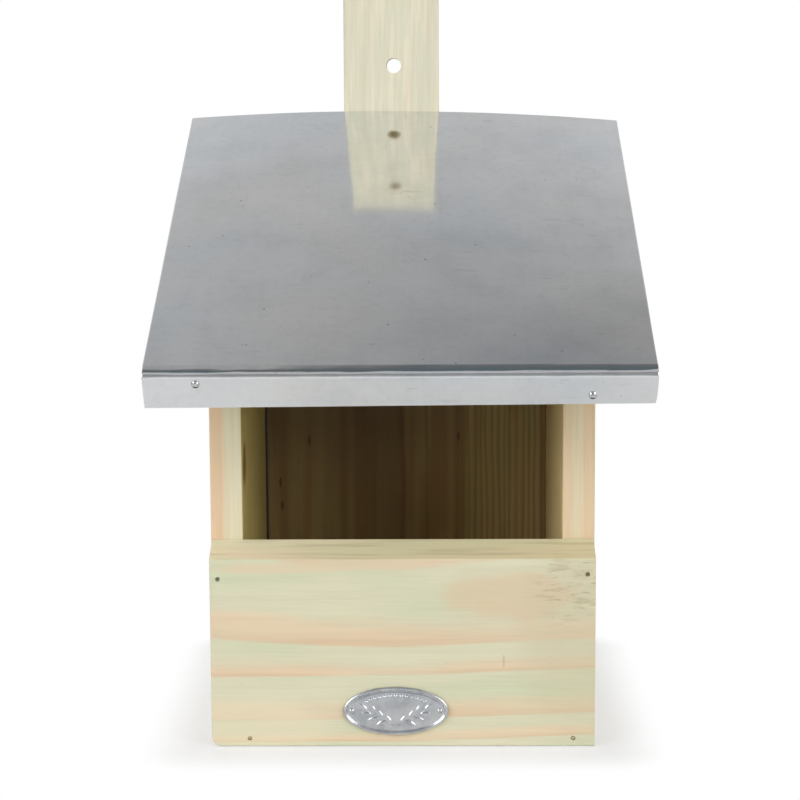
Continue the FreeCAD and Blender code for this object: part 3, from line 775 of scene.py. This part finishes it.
def buildSheet():
    look = sheetLook
    half, slope, lip, bend, side, beside = (look[key] * mm for key in ("half", "slope", "lip", "bend",
                                                                      "sideBend", "besideFold"))
    long, short = (reach * mm for reach in look["reach"])
    sheet = begin("zinc_sheet", bpy.ops.mesh.primitive_cube_add, size=2.0)
    stretch(half, slope / 2, lip / 2)
    move(0, slope / 2, -lip / 2)
    pick(sheet, "faces", lambda face: face.normal.z < -squarely or face.normal.y > squarely)
    bpy.ops.mesh.delete(type="FACE")
    # the front lip is cut askew
    for hand, drop in look["lipSkew"].items():
        pick(sheet, "verts", lambda v: v.co.y < mm and v.co.z < -lip / 2 and v.co.x * hand > 0)
        move(0, 0, -drop * mm)
    pick(sheet, "edges", lambda edge: all(abs(v.co.z) < hair and v.co.y < mm for v in edge.verts))
    bpy.ops.mesh.bevel(affect="EDGES", offset_type="OFFSET", offset=bend, segments=look["steps"])
    # the fold is drawn out up the roof and kept short on the lip
    pick(sheet, "verts", lambda v: v.co.y < bend + hair and v.co.z > -bend - hair)
    stretch(1, long / bend, short / bend)
    # then the folds down the two sides, whose edges have both ends on the same side
    pick(sheet, "edges", lambda edge: len(edge.link_faces) == 2
         and abs(edge.verts[0].co.x + edge.verts[1].co.x) > 2 * half - hair)
    bpy.ops.mesh.bevel(affect="EDGES", offset_type="OFFSET", offset=side, segments=look["sideSteps"])
    flat = half - side
    for step in range(1, look["columns"]):
        cutSheet((-flat + 2 * flat * step / look["columns"], 0, 0), (1, 0, 0))
    for step in range(1, look["rows"]):
        cutSheet((0, long + (slope - long) * step / look["rows"], 0), (0, 1, 0))
    for share in look["lipRows"]:
        cutSheet((0, 0, -lip * share), (0, 0, 1))
    # a line close to each fold keeps the faces beside it flat
    for hand in (-1, 1):
        cutSheet((hand * (flat - beside), 0, 0), (1, 0, 0))
    cutSheet((0, long + beside, 0), (0, 1, 0))
    cutSheet((0, 0, -short - beside), (0, 0, 1))
    dressCorners(sheet)
    crownSheet(sheet)
    part = look["unevenPart"]
    pick(sheet, "verts", lambda v: v.co.y < long * part and v.co.z > -short * part)
    bpy.ops.transform.vertex_random(offset=look["uneven"] * mm, normal=0.0, seed=look["unevenSeed"])
    leave()
    turn = Matrix.Rotation(math.radians(look["pitch"]), 4, "X")
    place(sheet, Matrix.Translation(Vector((0, *look["fold"])) * mm) @ turn)
    shape("VERT")
    cutSheet((0, look["rear"] * mm, 0), (0, 1, 0), trim=True)
    leave()
    hollows = bpy.data.textures.new("sheet_hollows", "CLOUDS")
    hollows.noise_scale = look["dentSize"]
    dents = sheet.modifiers.new("dents", "DISPLACE")
    dents.texture = hollows
    dents.strength = look["dents"] * mm
    dents.mid_level = look["dentLevel"]
    thicken(sheet, look["thick"])
    close(sheet)
    keep(sheet, "zinc_cover", zinc)


# the lower corners of the front lip are dressed in a little, more at the edge than above it
def dressCorners(sheet):
    look = sheetLook
    half, lip, reach = (look[key] * mm for key in ("half", "lip", "cornerReach"))
    for hand, inset in look["corners"].items():
        for low, share in look["cornerRows"]:
            pick(sheet, "verts", lambda v: v.co.y < reach and v.co.z < low * lip
                 and v.co.x * hand > half - reach)
            move(-hand * inset * share * mm, 0, 0)


def cutSheet(spot, across, trim=False):
    bpy.ops.mesh.select_all(action="SELECT")
    bpy.ops.mesh.bisect(plane_co=spot, plane_no=across, clear_outer=trim)


# each line of points from front to rear swings up about the fold by its share of the crown
def crownSheet(sheet):
    look = sheetLook
    mesh = bmesh.from_edit_mesh(sheet.data)
    lines = sorted({round(v.co.x, 5) for v in mesh.verts})
    for line in lines:
        share = line / (look["half"] * mm)
        rise = look["crown"] * (1 - share * share) + look["spring"] * (1 - share) / 2
        pick(sheet, "verts", lambda v: abs(v.co.x - line) < 5 * hair
             and v.co.y > look["reach"][0] * mm - hair)
        bpy.ops.transform.rotate(value=-rise / look["run"], orient_axis="X", center_override=(0, 0, 0))


buildSheet()
print("zinc cover folded")


# Fasteners: each kind drawn once, along its own axis, with its head outwards at height 0

fastenerLook = {
    "brad": {"rings": [(0.08, -29.0), (0.62, -26.8), (0.62, -0.75), (0.7, -0.65), (0.7, -0.42), (0.58, -0.32),
                       (0.25, -0.38)], "sides": 20},
    "stud": {"rings": [(0.08, -13.6), (0.76, -12.4), (0.76, -0.3), (1.68, -0.1), (1.7, 0.08), (1.58, 0.42),
                       (1.3, 0.75), (0.92, 0.97), (0.45, 1.07)], "sides": 28, "tip": 1.1},
    "pin": {"rings": [(0.06, -8.8), (0.5, -8.0), (0.5, -0.05), (1.08, -0.05), (1.08, 0.1), (0.9, 0.36),
                      (0.6, 0.56), (0.28, 0.66)], "sides": 24, "tip": 0.7},
    "screw": {"rings": [(0.1, -23.8), (1.7, -19.0), (1.7, -1.85), (3.42, -0.14), (3.36, -0.06)], "sides": 40},
}
# the cross in a screw's head: the size of one slot, how it narrows to its floor, and the turns of the two
crossLook = dict(slot=(4.2, 0.9, 1.5), narrow=(0.45, 0.8, 1), turns=(20.0, 110.0))


def cutCross(screw):
    look = crossLook
    for turn in look["turns"]:
        bit = begin("bit", bpy.ops.mesh.primitive_cube_add, size=1.0)
        stretch(*(size * mm for size in look["slot"]))
        pick(bit, "faces", lambda face: face.normal.z < -squarely)
        stretch(*look["narrow"])
        leave()
        place(bit, Matrix.Rotation(math.radians(turn), 4, "Z"))
        cross = screw.modifiers.new("cross", "BOOLEAN")
        cross.object = bit
        cross.operation = "DIFFERENCE"
        applyAll(screw)
        bpy.data.objects.remove(bit)


models = {kind: drawRings(kind, **look) for kind, look in fastenerLook.items()}
cutCross(models["screw"])

# where each one sits, in mm, and the way its head looks
leftward, rightward, forward, backward = (-1, 0, 0), (1, 0, 0), (0, -1, 0), (0, 1, 0)
roofPitch = math.radians(sheetLook["pitch"])
roofDown = (0.0, -math.cos(roofPitch), -math.sin(roofPitch))
floorRows = (-108.0, -63.0)
backRows = (34.0, 117.7, 201.41)
fastenings = {
    "front_upper_nails": ("brad", "dark", [((x, -157.5, z), forward)
                                           for x, z in ((-76.6, 71.5), (76.6, 73.3))]),
    "front_lower_nails": ("brad", "pale", [((x, -157.5, 3.4), forward) for x in (-64.1, 71.0)]),
    "left_floor_nails": ("brad", "dark", [((-80.5, y, 6.75), leftward) for y in floorRows]),
    "right_floor_nails": ("brad", "dark", [((80.5, y, 6.75), rightward) for y in floorRows]),
    "left_back_nails": ("brad", "dark", [((-80.5, -20.25, z), leftward) for z in backRows]),
    "right_back_nails": ("brad", "dark", [((80.5, -20.25, z), rightward) for z in backRows]),
    "back_floor_nails": ("brad", "dark", [((x, -13.5, 6.75), backward) for x in (-45.0, 45.0)]),
    "zinc_front_nails": ("stud", "bright", [(spot, roofDown) for spot in ((-79.8, -194.1, 158.39),
                                                                          (75.4, -191.38, 153.15))]),
    "zinc_side_nails": ("stud", "bright", [((hand * 100.75, y, z), (hand, 0, 0)) for hand in (-1, 1)
                                           for y, z in ((-155.78, 175.81), (-53.8, 228.9))]),
    "badge_pins": ("pin", "bright", [((x, -158.4, 15.5), forward) for x in (-21.4, 15.4)]),
    "batten_screws": ("screw", "bright", [((-6.0, 0.0, z), backward) for z in (32.0, 112.0, 192.0)]),
}
for node, (kind, finish, spots) in fastenings.items():
    for number, (spot, outward) in enumerate(spots, start=1):
        piece = copyOf(models[kind], f"{node}_{number}", facing(spot, outward))
        keep(piece, node, nailFinishes[finish])
for model in models.values():
    bpy.data.objects.remove(model)
print("nails, pins and screws set")


# Badge: an oval plate pressed from sheet, with a rolled edge and two plain leaf sprigs under a row of beads

badgeLook = dict(
    place=(-3.0, -157.5, 15.5), half=(22.0, 10.4), sides=120, smooth=50.0,
    # the rolled edge and the field, as (inset from the oval, height off the board)
    rings=[(0.4, 0.02), (0.06, 0.3), (0.0, 0.7), (0.16, 1.08), (0.5, 1.34), (0.85, 1.38), (1.2, 1.2),
           (1.5, 0.92), (1.75, 0.62), (2.0, 0.58), (2.3, 0.74), (2.8, 0.8), (4.0, 0.84), (6.0, 0.9),
           (8.0, 0.93)],
    top=0.84,  # where the relief sits
    leaf=(5.0, 2.1, 0.62), leafGrid=(8, 4), leafWall=0.25,
    groove=0.75,  # height of the leaf's middle line beside its ridge
    outline=(0.03, 0.8, 0.8),  # least width of the leaf, and the powers that round its outline
    flat=0.35,  # height left at its ends
    leaves=[(3.0, -4.0, 66), (6.0, -5.2, -22), (6.3, -1.9, 68), (9.4, -3.4, -12), (9.3, 0.2, 78),
            (12.4, -1.2, 4), (13.6, 1.6, 44)],
    stem=[(0.5, -6.3), (5.2, -4.6), (9.4, -2.0), (12.6, 0.6)],
    stemRadius=0.24, stemRounding=2, stemMerge=0.001,
    beads=13, beadOval=(15.4, 6.3), beadArc=(38.0, 142.0),
    bead={"rings": [(0.8, -0.1), (0.8, 0.1), (0.66, 0.36), (0.34, 0.54)], "sides": 12, "tip": 0.58},
)


def buildLeaf():
    look = badgeLook
    long, wide, high = (size * mm for size in look["leaf"])
    gridX, gridY = look["leafGrid"]
    leaf = begin("leaf", bpy.ops.mesh.primitive_grid_add, "VERT", x_subdivisions=gridX, y_subdivisions=gridY,
                 size=1.0)
    stretch(long, wide, 1)
    mesh = bmesh.from_edit_mesh(leaf.data)
    columns = sorted({round(v.co.x, 7) for v in mesh.verts})
    rows = sorted({round(abs(v.co.y), 7) for v in mesh.verts})
    # a ridge along the middle with a fine groove on it
    for row in rows:
        lift = high * (1 - (row / rows[-1]) ** 2) * (look["groove"] if row == rows[0] else 1.0)
        pick(leaf, "verts", lambda v: abs(abs(v.co.y) - row) < hair)
        move(0, 0, lift)
    least, skew, power = look["outline"]
    flat = look["flat"]
    for column in columns:
        share = (column - columns[0]) / (columns[-1] - columns[0])
        slim = max(least, math.sin(math.pi * share ** skew) ** power)
        pick(leaf, "verts", lambda v: abs(v.co.x - column) < hair)
        stretch(1, slim, flat + (1 - flat) * slim, about=(column, 0, 0))
    leave()
    thicken(leaf, look["leafWall"])
    return close(leaf, look["smooth"])


def buildStem():
    look = badgeLook
    clear()
    bpy.ops.curve.primitive_bezier_curve_add()
    stem = bpy.context.object
    line = stem.data.splines[0]
    line.bezier_points.add(len(look["stem"]) - len(line.bezier_points))
    for knot, (x, y) in zip(line.bezier_points, look["stem"]):
        knot.co = (x * mm, y * mm, 0)
        knot.handle_left_type = knot.handle_right_type = "AUTO"
    stem.data.bevel_depth = look["stemRadius"] * mm
    stem.data.bevel_resolution = look["stemRounding"]
    stem.data.use_fill_caps = True
    bpy.ops.object.convert(target="MESH")
    # the caps come loose from the tube
    shape("VERT")
    bpy.ops.mesh.select_all(action="SELECT")
    bpy.ops.mesh.remove_doubles(threshold=look["stemMerge"] * mm)
    outwards()
    return close(stem, look["smooth"])


def buildPlate():
    look = badgeLook
    wide, high = look["half"]
    rings = [((wide - inset) * mm, (high - inset) * mm, height * mm) for inset, height in look["rings"]]
    badge = begin("badge_plate", bpy.ops.mesh.primitive_circle_add, vertices=look["sides"], radius=1.0,
                  fill_type="NGON")
    stretch(rings[0][0], rings[0][1], 1)
    move(0, 0, rings[0][2])
    for before, after in zip(rings, rings[1:]):
        drawUp(after[2] - before[2], after[0] / before[0], after[1] / before[1])
    outwards()
    return close(badge, look["smooth"])


def buildBadge():
    look = badgeLook
    badge, leaf, stem = buildPlate(), buildLeaf(), buildStem()
    bead = drawRings("bead", **look["bead"])
    stemLeft = copyOf(stem, "stem_left", Matrix.Scale(-1, 4, (1, 0, 0)))
    parts = [stem, stemLeft]
    for x, y, turn in look["leaves"]:
        for hand, angle in ((1, turn), (-1, 180 - turn)):
            lie = Matrix.Rotation(math.radians(angle), 4, "Z")
            parts.append(copyOf(leaf, "leaf_copy", Matrix.Translation((hand * x * mm, y * mm, 0)) @ lie))
    first, last = look["beadArc"]
    wide, high = look["beadOval"]
    for step in range(look["beads"]):
        angle = math.radians(first + (last - first) * step / (look["beads"] - 1))
        spot = (wide * math.cos(angle) * mm, high * math.sin(angle) * mm, 0)
        parts.append(copyOf(bead, "bead_copy", Matrix.Translation(spot)))
    for part in parts:
        place(part, Matrix.Translation((0, 0, look["top"] * mm)))
    for model in (leaf, bead):
        bpy.data.objects.remove(model)
    # mirroring turned the left stem inside out
    only(stemLeft)
    shape("FACE")
    outwards()
    leave()
    joinTo(badge, parts)
    upright = Matrix.Rotation(math.radians(90), 4, "X")
    place(badge, Matrix.Translation(Vector(look["place"]) * mm) @ upright)
    keep(badge, "oval_badge", plate)


buildBadge()
print("badge pressed")


# Stage: a pale floor that turns up into a round backdrop, lamps, world and camera

stageLook = dict(
    # radius of the floor, of its turn upwards, and height of the wall, in m
    floor=1.9, turn=0.55, wall=1.1, sides=96, steps=8, drop=-0.0003, middle=-0.09,
    color=shade(238, 238, 238), farColor=shade(105, 105, 105), frontColor=shade(198, 198, 198),
    roughness=0.9,
    # distances from the middle, in mm
    far=(350.0, 900.0), frontFar=(900.0, 1500.0), mirrored=(420.0, 1000.0),
    aheadEnd=(1700.0, 1900.0),
    # distances to the front, in mm
    front=(150.0, 500.0), ahead=(300.0, 600.0), aheadShare=0.45,
    # the box's foot as middle and half sizes, and the width of its shadow, in mm
    foot=(0.0, -85.0, 84.0, 78.0), shadow=(1.0, 28.0), shadowShare=0.5,
)


def floorFinish(name):
    look = stageLook
    paint = Finish(name)
    x, y, z = paint.millimetres()
    deep = y - look["middle"] / mm
    apart = x.span(deep)
    footX, footY, footWide, footDeep = look["foot"]
    beside = (abs(x - footX) - footWide).most(0.0)
    before = (abs(y - footY) - footDeep).most(0.0)
    away = paint.rise(beside.span(before), *look["shadow"])
    front = y * -1.0
    behind = 1.0 - paint.rise(front, *look["front"])
    grey = paint.mix(paint.rise(apart, *look["far"]), look["color"], look["farColor"])
    grey = paint.mix(paint.rise(apart, *look["frontFar"]) * (1.0 - behind), grey, look["frontColor"])
    path = paint.tree.nodes.new("ShaderNodeLightPath")
    seen, glossy, through = [Wire(paint, path.outputs[name]) for name in
                             ("Is Camera Ray", "Is Glossy Ray", "Is Transmission Ray")]
    mirrored = paint.rise(apart, *look["mirrored"]) * behind
    # the fold of the zinc mirrors pale floor as far as the dark wall in front
    ahead = paint.rise(front, *look["ahead"]) * (1.0 - paint.rise(apart, *look["aheadEnd"]))
    mirrored = mirrored.most(ahead * look["aheadShare"])
    bare = away * look["shadowShare"] + (1.0 - look["shadowShare"])
    shown = (seen.most(through) * bare).most(glossy * mirrored)
    white = paint.add("ShaderNodeEmission", {}, {"Color": (1, 1, 1, 1), "Strength": 1.0})
    paint.set(color=grey, roughness=look["roughness"], specular=0.0)
    plain = Wire(paint, paint.shader.outputs[0])
    both = paint.add("ShaderNodeMixShader", {}, {0: shown, 1: plain, 2: white})
    paint.feed(paint.tree.nodes["Material Output"].inputs["Surface"], both)
    return paint


def buildStage():
    look = stageLook
    floor = begin("pale_floor", bpy.ops.mesh.primitive_circle_add, "EDGE", vertices=look["sides"],
                  radius=look["floor"], fill_type="NOTHING", location=(0, look["middle"], look["drop"]))
    radius = look["floor"]
    for step in range(look["steps"]):
        before, after = (math.radians(90 * (step + share) / look["steps"]) for share in (0, 1))
        out = look["turn"] * (math.sin(after) - math.sin(before))
        lift = look["turn"] * (math.cos(before) - math.cos(after))
        growth = (radius + out) / radius
        drawUp(lift, growth, growth, about=(0, look["middle"], 0))
        radius += out
    drawUp(look["wall"])
    pick(floor, "edges", lambda edge: all(abs(v.co.z) < hair for v in edge.verts))
    bpy.ops.mesh.edge_face_add()
    leave()
    bpy.ops.object.shade_smooth()
    place(floor, Matrix())
    dress(floor, floorFinish("pale_floor"))


lamps = {
    "left_soft": {"place": (-1.5, -1.25, 0.85), "aim": (0, -0.1, 0.12), "size": (1.2, 1.2), "power": 18.1},
    "right_soft": {"place": (1.5, -1.25, 0.85), "aim": (0, -0.1, 0.12), "size": (1.2, 1.2), "power": 15.9},
    "front_fill": {"place": (0.2, -1.95, 1.62), "aim": (0, -0.1, 0.15), "size": (1.6, 1.0), "power": 7.8,
                   "mirrored": False},
    "rear_fill": {"place": (-0.3, 1.9, 1.35), "aim": (0, -0.1, 0.15), "size": (1.2, 0.8), "power": 12.0},
}


def addLamp(name, place, aim, size, power, mirrored=True):
    data = bpy.data.lights.new(name, "AREA")
    data.shape = "RECTANGLE"
    data.size, data.size_y = size
    data.energy = power
    lamp = bpy.data.objects.new(name, data)
    bpy.context.scene.collection.objects.link(lamp)
    lamp.location = place
    lamp.rotation_euler = (Vector(aim) - Vector(place)).to_track_quat("-Z", "Y").to_euler()
    lamp.visible_glossy = mirrored


# brightness of the studio round the box by the angle from the horizon behind it, over the top, to the front
worldLook = dict(
    stops=[(0, 0.66), (45, 0.66), (52, 0.66), (55.5, 0.62), (59.5, 0.48), (63.0, 0.37), (67.0, 0.24),
           (73, 0.16), (90, (0.11, 0.135, 0.145, 1)), (108, (0.11, 0.135, 0.145, 1)), (113, 0.5),
           (132, 0.5), (137, 0.3), (180, 0.3)],
    rightTurn=8.0,  # degrees by which the right is ahead
    tilt=(60.0, 6.0, 5.0),  # from this angle, over so many degrees, and by how much
    leftShare=12.0, leftFrom=(63.0, 20.0), leftEnd=(92.0, 108.0),
    sides=0.5, sidesFrom=(0.35, 0.75),  # plain grey far to the left and right
)


def buildWorld():
    look = worldLook
    world = bpy.data.worlds.new("studio")
    bpy.context.scene.world = world
    paint = Finish("studio", world)
    spot = paint.add("ShaderNodeTexCoord", out="Generated")
    across, deep, up = [paint.add("ShaderNodeSeparateXYZ", {}, {0: spot}, out=index) for index in range(3)]
    angle = up.sum("ARCTAN2", up, deep) * (180 / math.pi)
    angle = angle + across.most(0.0) * look["rightTurn"]
    start, span, slope = look["tilt"]
    angle = angle + (angle - start).most(0.0).least(span) * across * slope
    # towards the left end the fold stays light for longer
    left = (across * -look["leftShare"]).most(0.0).least(1.0)
    start, span = look["leftFrom"]
    angle = angle - (angle - start).most(0.0).least(span) * left * (1.0 - paint.rise(angle, *look["leftEnd"]))
    aside = paint.rise(abs(across), *look["sidesFrom"])
    color = paint.mix(aside, paint.bands(angle, look["stops"]), (look["sides"],) * 3 + (1,))
    glow = paint.add("ShaderNodeBackground", {}, {"Color": color, "Strength": 1.0})
    paint.feed(paint.tree.nodes["World Output"].inputs["Surface"], glow)


cameraLook = dict(place=(12.1, -949.9, 266.8), pitch=7.233, yaw=-0.903, roll=-0.334, lens=88.189,
                  sensor=36.0, shift=-0.06)


def buildCamera():
    look = cameraLook
    data = bpy.data.cameras.new("photo_view")
    data.lens = look["lens"]
    data.sensor_width = look["sensor"]
    data.shift_y = look["shift"]
    camera = bpy.data.objects.new("photo_view", data)
    bpy.context.scene.collection.objects.link(camera)
    turn = (Matrix.Rotation(math.radians(-look["yaw"]), 4, "Z")
            @ Matrix.Rotation(math.radians(90 - look["pitch"]), 4, "X")
            @ Matrix.Rotation(math.radians(look["roll"]), 4, "Z"))
    camera.matrix_world = Matrix.Translation(Vector(look["place"]) * mm) @ turn
    bpy.context.scene.camera = camera


buildStage()
for name, look in lamps.items():
    addLamp(name, **look)
buildWorld()
buildCamera()
bpy.context.scene.view_settings.view_transform = "Standard"
print("stage, lamps and camera set")
